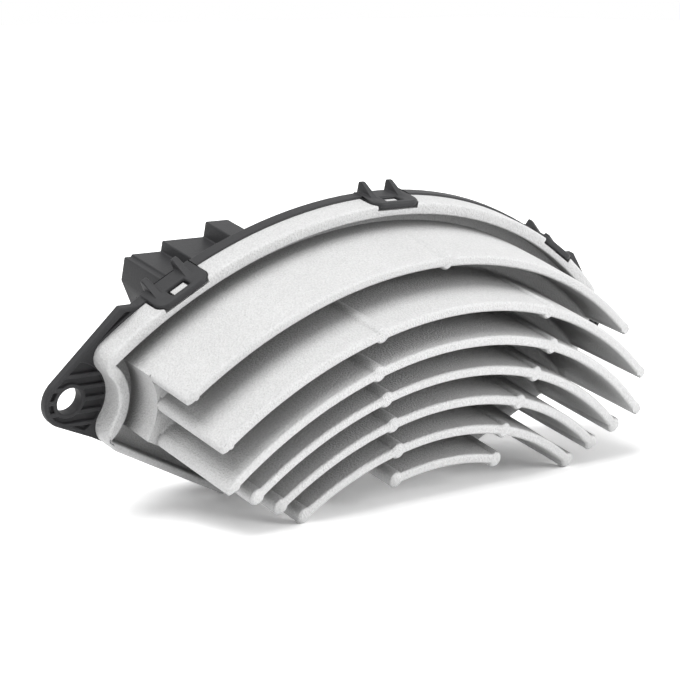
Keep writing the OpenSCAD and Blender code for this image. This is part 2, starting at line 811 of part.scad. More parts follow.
// Power transistor that lies on its pad, with three leads bent back through the board
module power_transistor(side) {
    x = side * transistor_spacing / 2;
    lead_y = transistor_y + transistor_t / 2;
    color("dimgray") placed() translate([x, 0, 0]) {
        difference() {
            block([-transistor_w / 2, transistor_y, transistor_z],
                [transistor_w / 2, clamp_y, transistor_z + transistor_l]);
            rod([0, transistor_z + transistor_l - transistor_hole_inset], transistor_hole_r,
                transistor_y - over, clamp_y + over);
        }
        for (i = [-1 : 1]) translate([i * lead_pitch - lead_w / 2, 0, 0]) {
            block([0, lead_y, lead_z - lead_t / 2], [lead_w, lead_y + lead_t, transistor_z + over]);
            block([0, lead_y, lead_z - lead_t / 2], [lead_w, board_top_y + lead_t, lead_z + lead_t / 2]);
        }
    }
}

module power_transistor_left() {
    power_transistor(-1);
}

module power_transistor_right() {
    power_transistor(1);
}

module insulating_pad(side) {
    x = side * transistor_spacing / 2;
    half = transistor_w / 2 + pad_margin;
    color("gainsboro") placed()
        block([x - half, pocket_y, transistor_z - pad_margin],
            [x + half, transistor_y, transistor_z + transistor_l + pad_margin]);
}

module insulating_pad_left() {
    insulating_pad(-1);
}

module insulating_pad_right() {
    insulating_pad(1);
}

module transistor_clamp() {
    half = transistor_spacing / 2 + clamp_overlap;
    color("lightsteelblue") placed() difference() {
        block([-half, clamp_y, clamp_z - clamp_w / 2], [half, clamp_y + clamp_t, clamp_z + clamp_w / 2]);
        rod([0, clamp_z], clamp_bore_r, clamp_y - over, clamp_y + clamp_t + over);
    }
}

// Screw with a flat head, from its tip in the casting to its seat
module screw(at, r, head_r, head_h, seat_y) {
    rod(at, r, -plate_h + post_bottom_t + fit_gap, seat_y);
    rod(at, head_r, seat_y, seat_y + head_h);
}

module clamp_screw() {
    color("silver") placed()
        screw([0, clamp_z], clamp_screw_r, clamp_head_r, clamp_head_h, clamp_y + clamp_t);
}

module board_screws() {
    color("silver") placed()
        for (at = board_screw_places) screw(at, board_screw_r, board_head_r, board_head_h, board_top_y);
}

// Box that stands on the board, given its middle and its size along X, along Z and off the board
module on_board(at, size) {
    block([at.x - size.x / 2, board_top_y, at.y - size.y / 2],
        [at.x + size.x / 2, board_top_y + size.z, at.y + size.y / 2]);
}

// Can on a square foot
module smoothing_capacitor() {
    at = spot(capacitor_angle, capacitor_share);
    foot = 2 * (capacitor_r + capacitor_foot_margin);
    color("lightgray") placed() {
        on_board(at, [foot, foot, capacitor_foot_h]);
        rod(at, capacitor_r, board_top_y, board_top_y + capacitor_h);
    }
}

// Bridge of resistance strip
module sense_resistor() {
    at = spot(sense_angle, sense_share);
    half = sense_l / 2;
    foot_y = board_top_y;
    under_y = board_top_y + sense_h - sense_t;
    top_y = board_top_y + sense_h;
    color("peru") placed() translate([at.x, 0, at.y - sense_w / 2]) linear_extrude(height = sense_w)
        polygon([[-half, foot_y], [2 * sense_t - half, foot_y], [sense_t - half, under_y],
            [half - sense_t, under_y], [half - 2 * sense_t, foot_y], [half, foot_y], [half, top_y],
            [-half, top_y]]);
}

// Flat chip with a row of leads along both long sides
module chip(at, leads) {
    on_board(at, [leads * chip_pitch - chip_lead_w / 2, chip_w, chip_h]);
    for (i = [0 : leads - 1])
        on_board(at + [(i - (leads - 1) / 2) * chip_pitch, 0], [chip_lead_w, chip_lead_span, chip_lead_h]);
}

module control_chip() {
    color("dimgray") placed() chip(spot(-chip_angle, chip_share), control_chip_leads);
}

module driver_chip() {
    color("dimgray") placed() chip(spot(chip_angle, chip_share), driver_chip_leads);
}

module suppressor_diode() {
    at = spot(diode_angle, diode_share);
    color("dimgray") placed() {
        on_board(at, [diode_l, diode_w, diode_h]);
        on_board(at, [diode_l + 2 * diode_tab_l, diode_tab_w, diode_tab_t]);
    }
}

// Sleeve that lies on the board, with a wire at each end
module thermal_fuse() {
    at = spot(-fuse_angle, fuse_share);
    color("tan") placed() {
        translate([at.x - fuse_l / 2, board_top_y + fuse_r, at.y]) rotate([0, 90, 0])
            cylinder(r = fuse_r, h = fuse_l);
        on_board(at, [fuse_l + 2 * fuse_wire_l, fuse_wire_t, fuse_wire_t]);
    }
}

// Row of equal parts on the board
module row(at, count, pitch, size) {
    for (i = [0 : count - 1]) on_board(at + [(i - (count - 1) / 2) * pitch, 0], size);
}

module ceramic_capacitors() {
    color("burlywood") placed()
        row(spot(-ceramic_angle, ceramic_share), ceramic_count, ceramic_pitch,
            [ceramic_l, ceramic_w, ceramic_h]);
}

module chip_resistors() {
    color("dimgray") placed()
        row(spot(resistor_angle, resistor_share), resistor_count, resistor_pitch,
            [resistor_l, resistor_w, resistor_h]);
}

heat_sink();
housing();
circuit_board();
power_transistor_left();
power_transistor_right();
insulating_pad_left();
insulating_pad_right();
transistor_clamp();
clamp_screw();
board_screws();
supply_blade();
motor_blade();
ground_pin();
signal_pin();
smoothing_capacitor();
sense_resistor();
control_chip();
driver_chip();
suppressor_diode();
thermal_fuse();
ceramic_capacitors();
chip_resistors();
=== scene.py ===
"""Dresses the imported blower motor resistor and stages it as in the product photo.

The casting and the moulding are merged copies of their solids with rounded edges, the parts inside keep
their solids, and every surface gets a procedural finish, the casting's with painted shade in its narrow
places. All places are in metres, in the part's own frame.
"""

import json
import logging
import math
from dataclasses import dataclass
from enum import Enum

import bpy
from mathutils import Matrix, Vector


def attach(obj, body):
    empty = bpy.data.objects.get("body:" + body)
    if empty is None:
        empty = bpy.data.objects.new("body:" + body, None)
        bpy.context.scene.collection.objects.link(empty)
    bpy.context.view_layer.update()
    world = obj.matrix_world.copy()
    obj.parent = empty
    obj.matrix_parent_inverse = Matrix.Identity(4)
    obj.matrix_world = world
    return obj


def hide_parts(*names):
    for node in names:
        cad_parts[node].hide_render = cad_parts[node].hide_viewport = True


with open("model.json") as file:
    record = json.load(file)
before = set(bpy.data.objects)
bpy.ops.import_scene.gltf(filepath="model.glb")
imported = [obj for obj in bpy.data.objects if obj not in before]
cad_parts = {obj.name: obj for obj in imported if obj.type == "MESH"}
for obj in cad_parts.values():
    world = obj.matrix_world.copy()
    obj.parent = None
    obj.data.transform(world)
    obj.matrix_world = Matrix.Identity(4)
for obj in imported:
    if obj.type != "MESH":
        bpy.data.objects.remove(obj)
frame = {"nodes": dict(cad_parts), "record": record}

LOG = logging.getLogger("blower_resistor")
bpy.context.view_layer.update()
MM = 0.001


class Slot(Enum):
    """Material slots of the record."""

    CASTING = "cast_aluminium"
    MOULDING = "black_plastic"
    BOARD = "board_laminate"
    CHIP = "chip_plastic"
    PAD = "insulating_pad"
    STEEL = "plated_steel"
    CONTACT = "tinned_brass"
    CAN = "capacitor_can"
    STRIP = "resistance_strip"
    SLEEVE = "fuse_sleeve"
    CERAMIC = "ceramic"


class Way(Enum):
    """Sides of a node group."""

    IN = "INPUT"
    OUT = "OUTPUT"


class Kind(Enum):
    """Kinds of sockets of a node group."""

    VALUE = "NodeSocketFloat"
    COLOUR = "NodeSocketColor"


class End(Enum):
    """Ends of a fin, as the sign of X there."""

    LEFT = -1.0
    RIGHT = 1.0


@dataclass(frozen=True)
class Finish:
    """How one surface looks.

    Attributes:
        slot: The record's material slot.
        colour: Linear base colour.
        metallic: Share of metal in the surface.
        roughness: Mean roughness.
        specular: Specular level of the uncoated surface.
        tone_spread: How much the colour wanders in patches.
        rough_spread: How much the roughness wanders in patches.
        patch_scale: Patches per metre.
        grain_scale: Grains per metre.
        grain_depth: Height of the grain.
        speckle: How much the colour changes from grain to grain.
        painted_shade: How dark the colour is painted in narrow places, as painted shade where less light
            reaches, from 0, not at all, to 1, black.
    """

    slot: Slot
    colour: tuple[float, float, float]
    metallic: float
    roughness: float
    specular: float
    tone_spread: float
    rough_spread: float
    patch_scale: float
    grain_scale: float
    grain_depth: float
    speckle: float
    painted_shade: float = 0.0


FINISHES = (
    Finish(
        Slot.CASTING, colour=(0.68, 0.68, 0.68), metallic=0.15, roughness=0.56, specular=0.5,
        tone_spread=0.1, rough_spread=0.1, patch_scale=130.0,
        # painted shade: the casting's colour is darkened in its narrow places, where less light reaches
        grain_scale=3000.0, grain_depth=0.25 * MM, speckle=0.5, painted_shade=0.68,
    ),
    Finish(
        Slot.MOULDING, colour=(0.045, 0.045, 0.047), metallic=0.0, roughness=0.48, specular=0.15,
        tone_spread=0.18, rough_spread=0.08, patch_scale=160.0,
        grain_scale=3200.0, grain_depth=0.03 * MM, speckle=0.2,
    ),
    Finish(
        Slot.BOARD, colour=(0.012, 0.11, 0.04), metallic=0.0, roughness=0.38, specular=0.5,
        tone_spread=0.15, rough_spread=0.05, patch_scale=240.0,
        grain_scale=1500.0, grain_depth=0.01 * MM, speckle=0.1,
    ),
    Finish(
        Slot.CHIP, colour=(0.018, 0.018, 0.02), metallic=0.0, roughness=0.55, specular=0.4,
        tone_spread=0.12, rough_spread=0.06, patch_scale=300.0,
        grain_scale=4000.0, grain_depth=0.01 * MM, speckle=0.1,
    ),
    Finish(
        Slot.PAD, colour=(0.42, 0.42, 0.45), metallic=0.0, roughness=0.7, specular=0.3,
        tone_spread=0.08, rough_spread=0.05, patch_scale=200.0,
        grain_scale=3000.0, grain_depth=0.01 * MM, speckle=0.06,
    ),
    Finish(
        Slot.STEEL, colour=(0.55, 0.55, 0.54), metallic=1.0, roughness=0.32, specular=0.5,
        tone_spread=0.08, rough_spread=0.08, patch_scale=260.0,
        grain_scale=2600.0, grain_depth=0.01 * MM, speckle=0.06,
    ),
    Finish(
        Slot.CONTACT, colour=(0.70, 0.67, 0.58), metallic=1.0, roughness=0.26, specular=0.5,
        tone_spread=0.08, rough_spread=0.08, patch_scale=320.0,
        grain_scale=3000.0, grain_depth=0.01 * MM, speckle=0.06,
    ),
    Finish(
        Slot.CAN, colour=(0.72, 0.72, 0.74), metallic=1.0, roughness=0.3, specular=0.5,
        tone_spread=0.05, rough_spread=0.06, patch_scale=260.0,
        grain_scale=2600.0, grain_depth=0.01 * MM, speckle=0.05,
    ),
    Finish(
        Slot.STRIP, colour=(0.55, 0.36, 0.24), metallic=1.0, roughness=0.36, specular=0.5,
        tone_spread=0.1, rough_spread=0.08, patch_scale=260.0,
        grain_scale=2600.0, grain_depth=0.01 * MM, speckle=0.06,
    ),
    Finish(
        Slot.SLEEVE, colour=(0.42, 0.31, 0.17), metallic=0.0, roughness=0.6, specular=0.4,
        tone_spread=0.1, rough_spread=0.06, patch_scale=240.0,
        grain_scale=2600.0, grain_depth=0.01 * MM, speckle=0.08,
    ),
    Finish(
        Slot.CERAMIC, colour=(0.36, 0.22, 0.11), metallic=0.0, roughness=0.5, specular=0.4,
        tone_spread=0.1, rough_spread=0.06, patch_scale=300.0,
        grain_scale=2600.0, grain_depth=0.01 * MM, speckle=0.08,
    ),
)


@dataclass(frozen=True)
class Noise:
    """Character of a noise texture.

    Attributes:
        detail: Octaves of the noise.
        roughness: How strong the finer octaves are.
    """

    detail: float
    roughness: float


@dataclass(frozen=True)
class PaintedShadeProbe:
    """How narrow places, whose colour gets painted shade, are told from open ones.

    Attributes:
        samples: Rays that are sent out from a place.
        reach: Length of those rays.
        open_share: A place with this share of free rays, or more, is open.
        shut_share: A place with this share of free rays, or less, is shut.
    """

    samples: int
    reach: float
    open_share: float
    shut_share: float


PATCH_NOISE = Noise(detail=5.0, roughness=0.62)
GRAIN_NOISE = Noise(detail=2.0, roughness=0.6)
NOISE_MEAN = 0.5
# Painted shade: how the narrow places whose colour is darkened are found.
PAINTED_SHADE_PROBE = PaintedShadeProbe(samples=8, reach=5.5 * MM, open_share=0.91, shut_share=0.15)


class SurfaceGroups:
    """Shader node groups that several finishes share."""

    def __init__(self) -> None:
        """Builds each group once."""
        self.patches = self._patches()
        self.grain = self._grain()
        self.painted_shade = self._painted_shade()

    @staticmethod
    def _group(
        name: str, takes: dict[str, Kind], gives: dict[str, Kind]
    ) -> tuple[bpy.types.NodeTree, bpy.types.Node, bpy.types.Node]:
        """Starts a node group.

        Args:
            name: Name of the group.
            takes: Its inputs.
            gives: Its outputs.

        Returns:
            The group, its input node and its output node.
        """
        tree = bpy.data.node_groups.new(name, "ShaderNodeTree")
        for way, sockets in ((Way.IN, takes), (Way.OUT, gives)):
            for label, kind in sockets.items():
                tree.interface.new_socket(name=label, in_out=way.value, socket_type=kind.value)
        return tree, tree.nodes.new("NodeGroupInput"), tree.nodes.new("NodeGroupOutput")

    @staticmethod
    def _noise(tree: bpy.types.NodeTree, character: Noise) -> bpy.types.Node:
        """Adds a noise texture that reads the piece's own coordinates.

        Args:
            tree: The group that the noise goes into.
            character: The character of the noise.

        Returns:
            The noise node, with its Scale left open.
        """
        coords = tree.nodes.new("ShaderNodeTexCoord")
        noise = tree.nodes.new("ShaderNodeTexNoise")
        noise.inputs["Detail"].default_value = character.detail
        noise.inputs["Roughness"].default_value = character.roughness
        tree.links.new(coords.outputs["Object"], noise.inputs["Vector"])
        return noise

    @staticmethod
    def _centred(tree: bpy.types.NodeTree, noise: bpy.types.Node) -> bpy.types.NodeSocket:
        """Shifts a noise so that its mean is zero.

        Args:
            tree: The group.
            noise: The noise to shift.

        Returns:
            The socket with the result.
        """
        node = tree.nodes.new("ShaderNodeMath")
        node.operation = "SUBTRACT"
        node.inputs[1].default_value = NOISE_MEAN
        tree.links.new(noise.outputs["Fac"], node.inputs[0])
        return node.outputs[0]

    @staticmethod
    def _scaled(
        tree: bpy.types.NodeTree, value: bpy.types.NodeSocket, spread: bpy.types.NodeSocket
    ) -> bpy.types.Node:
        """Multiplies a value by a spread and adds one, or what the third input is linked to later.

        Args:
            tree: The group.
            value: The value.
            spread: What it is multiplied by.

        Returns:
            The node with the result.
        """
        node = tree.nodes.new("ShaderNodeMath")
        node.operation = "MULTIPLY_ADD"
        node.inputs[2].default_value = 1.0
        tree.links.new(value, node.inputs[0])
        tree.links.new(spread, node.inputs[1])
        return node

    @staticmethod
    def _times(
        tree: bpy.types.NodeTree, colour: bpy.types.NodeSocket, factor: bpy.types.NodeSocket
    ) -> bpy.types.NodeSocket:
        """Multiplies a colour by a factor.

        Args:
            tree: The group.
            colour: The colour.
            factor: What it is multiplied by.

        Returns:
            The socket with the result.
        """
        node = tree.nodes.new("ShaderNodeVectorMath")
        node.operation = "SCALE"
        tree.links.new(colour, node.inputs[0])
        tree.links.new(factor, node.inputs["Scale"])
        return node.outputs["Vector"]

    def _toned(
        self,
        tree: bpy.types.NodeTree,
        noise: bpy.types.Node,
        colour: bpy.types.NodeSocket,
        spread: bpy.types.NodeSocket,
    ) -> bpy.types.NodeSocket:
        """Makes a colour lighter and darker with a noise.

        Args:
            tree: The group.
            noise: The noise that the colour follows.
            colour: The mean colour.
            spread: How much it changes.

        Returns:
            The socket with the changing colour.
        """
        factor = self._scaled(tree, self._centred(tree, noise), spread)
        return self._times(tree, colour, factor.outputs[0])

    def _patches(self) -> bpy.types.NodeTree:
        """Builds the group that lets colour and roughness wander in soft patches.

        Returns:
            The group, with Color and Roughness outputs.
        """
        tree, given, made = self._group(
            "soft_patches",
            takes={
                "Color": Kind.COLOUR,
                "Tone Spread": Kind.VALUE,
                "Roughness": Kind.VALUE,
                "Roughness Spread": Kind.VALUE,
                "Scale": Kind.VALUE,
            },
            gives={"Color": Kind.COLOUR, "Roughness": Kind.VALUE},
        )
        noise = self._noise(tree, PATCH_NOISE)
        tree.links.new(given.outputs["Scale"], noise.inputs["Scale"])
        tinted = self._toned(tree, noise, given.outputs["Color"], given.outputs["Tone Spread"])
        tree.links.new(tinted, made.inputs["Color"])
        shift = self._scaled(tree, self._centred(tree, noise), given.outputs["Roughness Spread"])
        tree.links.new(given.outputs["Roughness"], shift.inputs[2])
        tree.links.new(shift.outputs[0], made.inputs["Roughness"])
        return tree

    def _grain(self) -> bpy.types.NodeTree:
        """Builds the group for a blasted or spark-eroded grain.

        Returns:
            The group, with a Height output and the Color speckled from grain to grain.
        """
        tree, given, made = self._group(
            "surface_grain",
            takes={"Color": Kind.COLOUR, "Scale": Kind.VALUE, "Speckle": Kind.VALUE},
            gives={"Color": Kind.COLOUR, "Height": Kind.VALUE},
        )
        noise = self._noise(tree, GRAIN_NOISE)
        tree.links.new(given.outputs["Scale"], noise.inputs["Scale"])
        tree.links.new(noise.outputs["Fac"], made.inputs["Height"])
        tinted = self._toned(tree, noise, given.outputs["Color"], given.outputs["Speckle"])
        tree.links.new(tinted, made.inputs["Color"])
        return tree

    def _painted_shade(self) -> bpy.types.NodeTree:
        """Builds the group that paints shade into a colour in narrow places, where less light reaches.

        Returns:
            The group, with a Color output.
        """
        tree, given, made = self._group(
            "painted_cavity_shade",
            takes={"Color": Kind.COLOUR, "Amount": Kind.VALUE},
            gives={"Color": Kind.COLOUR},
        )
        # Painted shade: the more closed a place is, the darker its colour is painted.
        openness = tree.nodes.new("ShaderNodeAmbientOcclusion")
        openness.samples = PAINTED_SHADE_PROBE.samples
        openness.only_local = True
        openness.inputs["Distance"].default_value = PAINTED_SHADE_PROBE.reach
        painted_shade_mask = tree.nodes.new("ShaderNodeMapRange")
        painted_shade_mask.inputs["From Min"].default_value = PAINTED_SHADE_PROBE.open_share
        painted_shade_mask.inputs["From Max"].default_value = PAINTED_SHADE_PROBE.shut_share
        tree.links.new(openness.outputs["AO"], painted_shade_mask.inputs["Value"])
        tree.links.new(given.outputs["Amount"], painted_shade_mask.inputs["To Max"])
        left = tree.nodes.new("ShaderNodeMath")
        left.operation = "SUBTRACT"
        left.inputs[0].default_value = 1.0
        tree.links.new(painted_shade_mask.outputs["Result"], left.inputs[1])
        toned = self._times(tree, given.outputs["Color"], left.outputs[0])
        tree.links.new(toned, made.inputs["Color"])
        return tree


class FinishShop:
    """Makes one material per finish and puts it on pieces."""

    def __init__(self) -> None:
        """Builds the groups and all materials."""
        self.groups = SurfaceGroups()
        self.materials = {finish.slot: self._material(finish) for finish in FINISHES}

    def _material(self, finish: Finish) -> bpy.types.Material:
        """Builds the material of one finish.

        Args:
            finish: The finish to build.

        Returns:
            The material.
        """
        material = bpy.data.materials.new(finish.slot.value)
        material.use_nodes = True
        tree = material.node_tree
        shader = tree.nodes["Principled BSDF"]
        shader.inputs["Metallic"].default_value = finish.metallic
        shader.inputs["Specular IOR Level"].default_value = finish.specular
        patches = tree.nodes.new("ShaderNodeGroup")
        patches.node_tree = self.groups.patches
        patches.inputs["Color"].default_value = (*finish.colour, 1.0)
        patches.inputs["Tone Spread"].default_value = finish.tone_spread
        patches.inputs["Roughness"].default_value = finish.roughness
        patches.inputs["Roughness Spread"].default_value = finish.rough_spread
        patches.inputs["Scale"].default_value = finish.patch_scale
        tree.links.new(patches.outputs["Roughness"], shader.inputs["Roughness"])
        grain = tree.nodes.new("ShaderNodeGroup")
        grain.node_tree = self.groups.grain
        grain.inputs["Scale"].default_value = finish.grain_scale
        grain.inputs["Speckle"].default_value = finish.speckle
        tree.links.new(patches.outputs["Color"], grain.inputs["Color"])
        colour = grain.outputs["Color"]
        # Painted shade: the colour is darkened in narrow places, where less light reaches.
        if finish.painted_shade > 0.0:
            painted_shade = tree.nodes.new("ShaderNodeGroup")
            painted_shade.node_tree = self.groups.painted_shade
            painted_shade.inputs["Amount"].default_value = finish.painted_shade
            tree.links.new(colour, painted_shade.inputs["Color"])
            colour = painted_shade.outputs["Color"]
        tree.links.new(colour, shader.inputs["Base Color"])
        bump = tree.nodes.new("ShaderNodeBump")
        bump.inputs["Distance"].default_value = finish.grain_depth
        tree.links.new(grain.outputs["Height"], bump.inputs["Height"])
        tree.links.new(bump.outputs["Normal"], shader.inputs["Normal"])
        return material

    def dress(self, piece: bpy.types.Object, slot: Slot) -> None:
        """Gives a piece one finish all over."""
        piece.data.materials.clear()
        piece.data.materials.append(self.materials[slot])


class Bench:
    """Steps that merge, round and shade one piece at a time.

    Attributes:
        WEIGHTS: Name of the mesh attribute with the bevel weights.
        MERGE: Corners that lie closer than this are one corner.
        FACE_LEAD: How strongly large faces lead the shading, from 1 to 100.
    """

    WEIGHTS = "bevel_weight_edge"
    MERGE = 0.002 * MM
    FACE_LEAD = 100

    @staticmethod
    def pick(piece: bpy.types.Object) -> None:
        """Makes a piece the only selected and active object.

        Args:
            piece: The piece.
        """
        bpy.ops.object.select_all(action="DESELECT")
        piece.select_set(True)
        bpy.context.view_layer.objects.active = piece

    @classmethod
    def merged_copy(cls, node: str, name: str) -> bpy.types.Object:
        """Copies a CAD node and joins its loose triangles into one closed mesh.

        Args:
            node: The CAD node.
            name: The name of the new piece.

        Returns:
            The new piece, at the origin.
        """
        source = frame["nodes"][node]
        piece = bpy.data.objects.new(name, source.data.copy())
        bpy.context.scene.collection.objects.link(piece)
        cls.pick(piece)
        bpy.ops.mesh.customdata_custom_splitnormals_clear()
        bpy.ops.object.mode_set(mode="EDIT")
        bpy.ops.mesh.select_all(action="SELECT")
        bpy.ops.mesh.remove_doubles(threshold=cls.MERGE)
        bpy.ops.object.mode_set(mode="OBJECT")
        return piece

    @classmethod
    def clear_weights(cls, piece: bpy.types.Object) -> bpy.types.Attribute:
        """Gives every edge of a piece the bevel weight 0.

        Args:
            piece: The piece.

        Returns:
            The attribute with the weights.
        """
        mesh = piece.data
        weights = mesh.attributes.get(cls.WEIGHTS)
        if weights is None:
            weights = mesh.attributes.new(cls.WEIGHTS, "FLOAT", "EDGE")
        weights.data.foreach_set("value", [0.0] * len(mesh.edges))
        return weights

    @classmethod
    def bevel(cls, piece: bpy.types.Object, width: float, segments: int) -> None:
        """Rounds the weighted edges with an applied bevel.

        Args:
            piece: The piece.
            width: Width of the rounding at full weight.
            segments: Steps across the rounding.
        """
        cls.pick(piece)
        modifier = piece.modifiers.new("edge_round", "BEVEL")
        modifier.width = width
        modifier.segments = segments
        modifier.limit_method = "WEIGHT"
        modifier.use_clamp_overlap = False
        modifier.loop_slide = False
        bpy.ops.object.modifier_apply(modifier=modifier.name)

    @classmethod
    def smooth(cls, piece: bpy.types.Object, angle: float) -> None:
        """Shades a piece smooth, led by its large faces.

        Args:
            piece: The piece.
            angle: Edges over this angle stay sharp, in degrees.
        """
        cls.pick(piece)
        bpy.ops.object.shade_smooth_by_angle(angle=math.radians(angle))
        modifier = piece.modifiers.new("calm_normals", "WEIGHTED_NORMAL")
        modifier.keep_sharp = True
        modifier.weight = cls.FACE_LEAD
        bpy.ops.object.modifier_apply(modifier=modifier.name)


@dataclass
class HeatSink:
    """Die casting with a rounded rim.

    Attributes:
        rim_front_y: Front face of the rim.
        rim_near: An edge closer to that face than this lies on it.
        wall_tilt: A face whose normal has less than this along Y is a wall.
        plate_front_y: Front face of the plate that carries the fins.
        plate_r: Radius of that plate along the arch.
        fin_face_r: Outer radius of the outermost fin at its root.
        step_merge: Corners along that root that lie closer than this become one.
        near: A corner closer than this to a face, a radius or a column belongs to it.
        arch_r: Radius of the rim along the arch.
        axis_z: Height of the arch's axis in the part's frame.
        ear_x: Distance of the ear holes from the middle.
        hollow_r: Radius of the hollow around an ear hole.
        edge_d: Distance of the lower edges from the arch's axis.
        edge_slope: Slope of the lower edges, in degrees.
        outer_round: Rounding of the rim's outer front edge.
        inner_round: Rounding of the rim's inner front edge.
        round_steps: Steps across a rounding.
        outer_span: Depths inside the outer outline at which the outer edge runs.
        tight_span: Depths at the tight lower corners, which keep their edge.
        inner_span: Depths at which the inner edge runs.
        plate_hollow_r: Radius of the plate's hollow around an ear hole.
        plate_edge_d: Distance of the plate's lower edges from the arch's axis.
        column_r: Radius of the columns at the ends of the fins.
        fin_r: Radius of the middle of the outermost fin.
        fin_pitch: Radial pitch of the fins.
        fin_root_t: Thickness of a fin at its root.
        fin_tip_t: Thickness of a fin at its tip.
        root_fillet: Fillet at the root of a fin.
        tip_round: Rounding of the tip of a fin.
        column_foot: How far a column reaches into the plate.
        end_power: How square the ends of the outer fins are; 2 is round.
        soft_tips: Tips of the outer fins, whose ends run out flush, from the outermost fin inwards.
        smooth_angle: Edges under this angle are shaded smooth, in degrees.
    """

    rim_front_y: float = -4.2 * MM
    rim_near: float = 0.02 * MM
    wall_tilt: float = 0.1
    plate_front_y: float = -9.0 * MM
    plate_r: float = 82.2 * MM
    fin_face_r: float = 82.05 * MM
    step_merge: float = 0.25 * MM
    near: float = 0.03 * MM
    arch_r: float = 86.4 * MM
    axis_z: float = -55.207 * MM
    ear_x: float = 61.4 * MM
    hollow_r: float = 6.95 * MM
    edge_d: float = 18.0 * MM
    edge_slope: float = 26.4
    outer_round: float = 0.5 * MM
    inner_round: float = 0.35 * MM
    round_steps: int = 4
    outer_span: tuple[float, float] = (-0.5 * MM, 1.09 * MM)
    tight_span: tuple[float, float] = (0.9 * MM, 1.0 * MM)
    inner_span: tuple[float, float] = (1.2 * MM, 2.6 * MM)
    plate_hollow_r: float = 11.05 * MM
    plate_edge_d: float = 22.4 * MM
    column_r: float = 1.5 * MM
    fin_r: float = 80.8 * MM
    fin_pitch: float = 5.6 * MM
    fin_root_t: float = 2.5 * MM
    fin_tip_t: float = 1.8 * MM
    root_fillet: float = 0.8 * MM
    tip_round: float = 0.5 * MM
    column_foot: float = 0.8 * MM
    end_power: float = 4.0
    soft_tips: tuple[float, ...] = (-18.7 * MM, -26.4 * MM, -28.2 * MM)
    smooth_angle: float = 45.0

    def _depth(self, place: Vector) -> float:
        """Measures how far a place lies inside the rim's outer outline.

        Args:
            place: The place.

        Returns:
            The depth, below zero outside the outline.
        """
        x, z = abs(place.x), place.z - self.axis_z
        slope = math.radians(self.edge_slope)
        return min(
            self.arch_r - math.hypot(x, z),
            z * math.cos(slope) - x * math.sin(slope) - self.edge_d,
            math.hypot(x - self.ear_x, place.z) - self.hollow_r,
        )

    def _front_edges(self, piece: bpy.types.Object) -> list[tuple[bpy.types.MeshEdge, float]]:
        """Finds the sharp edges of the rim's front face.

        Args:
            piece: The merged copy of the casting.

        Returns:
            Each edge with its depth inside the outer outline.
        """
        mesh = piece.data
        walls: set[tuple[int, int]] = set()
        for polygon in mesh.polygons:
            if abs(polygon.normal.y) < self.wall_tilt:
                walls.update(polygon.edge_keys)
        found: list[tuple[bpy.types.MeshEdge, float]] = []
        for edge in mesh.edges:
            a, b = (mesh.vertices[i].co for i in edge.vertices)
            front = max(abs(a.y - self.rim_front_y), abs(b.y - self.rim_front_y)) < self.rim_near
            if front and edge.key in walls:
                found.append((edge, self._depth((a + b) / 2)))
        return found

    def _weigh(self, piece: bpy.types.Object, span: tuple[float, float]) -> int:
        """Gives the rim's front edges within a span of depths a bevel weight.

        Args:
            piece: The merged copy of the casting.
            span: Least and greatest depth inside the outer outline.

        Returns:
            How many edges were weighted.
        """
        weights = Bench.clear_weights(piece)
        count = 0
        for edge, depth in self._front_edges(piece):
            tight = self.tight_span[0] < depth < self.tight_span[1]
            if span[0] < depth < span[1] and not tight:
                weights.data[edge.index].value = 1.0
                count += 1
        return count

    def _close_step(self, piece: bpy.types.Object) -> int:
        """Draws the plate's outer edge in to the face of the outermost fin, so that both run on as one.

        Args:
            piece: The merged copy of the casting.

        Returns:
            How many corners were moved.
        """
        moved = 0
        Bench.pick(piece)
        bpy.ops.object.mode_set(mode="EDIT")
        bpy.ops.mesh.select_mode(type="VERT")
        bpy.ops.mesh.select_all(action="DESELECT")
        bpy.ops.object.mode_set(mode="OBJECT")
        for vertex in piece.data.vertices:
            x, z = vertex.co.x, vertex.co.z - self.axis_z
            r = math.hypot(x, z)
            if abs(vertex.co.y - self.plate_front_y) > self.near or r < self.fin_face_r - self.near:
                continue
            if abs(r - self.plate_r) < self.near:
                share = self.fin_face_r / r
                vertex.co = (x * share, vertex.co.y, z * share + self.axis_z)
                moved += 1
            vertex.select = r < self.plate_r + self.near
        bpy.ops.object.mode_set(mode="EDIT")
        bpy.ops.mesh.remove_doubles(threshold=self.step_merge)
        bpy.ops.mesh.select_all(action="SELECT")
        bpy.ops.mesh.dissolve_degenerate(threshold=self.near)
        bpy.ops.object.mode_set(mode="OBJECT")
        return moved

    def _end_angle(self, r: float) -> float:
        """Measures the angle from the top of the arch to the end column of a fin.

        Args:
            r: Radius of the middle of the fin.

        Returns:
            The angle, in radians.
        """
        ear_r = math.hypot(self.ear_x, self.axis_z)
        beside = self.plate_hollow_r + self.column_r
        cosine = (r * r + ear_r * ear_r - beside * beside) / (2.0 * r * ear_r)
        at_edge = math.acos((self.plate_edge_d + self.column_r) / r) - math.radians(self.edge_slope)
        if cosine >= 1.0:
            return at_edge
        return min(at_edge, math.atan2(self.ear_x, -self.axis_z) - math.acos(cosine))

    def _half_thickness(self, y: float, tip_y: float) -> float:
        """Measures half the thickness of a fin at a depth, from its tapered section.

        Args:
            y: The depth.
            tip_y: Tip of the fin.

        Returns:
            Half the thickness.
        """
        root = self.plate_front_y - self.root_fillet
        share = (root - y) / (root - tip_y - self.tip_round)
        share = max(0.0, min(1.0, share))
        return (self.fin_root_t + (self.fin_tip_t - self.fin_root_t) * share) / 2.0

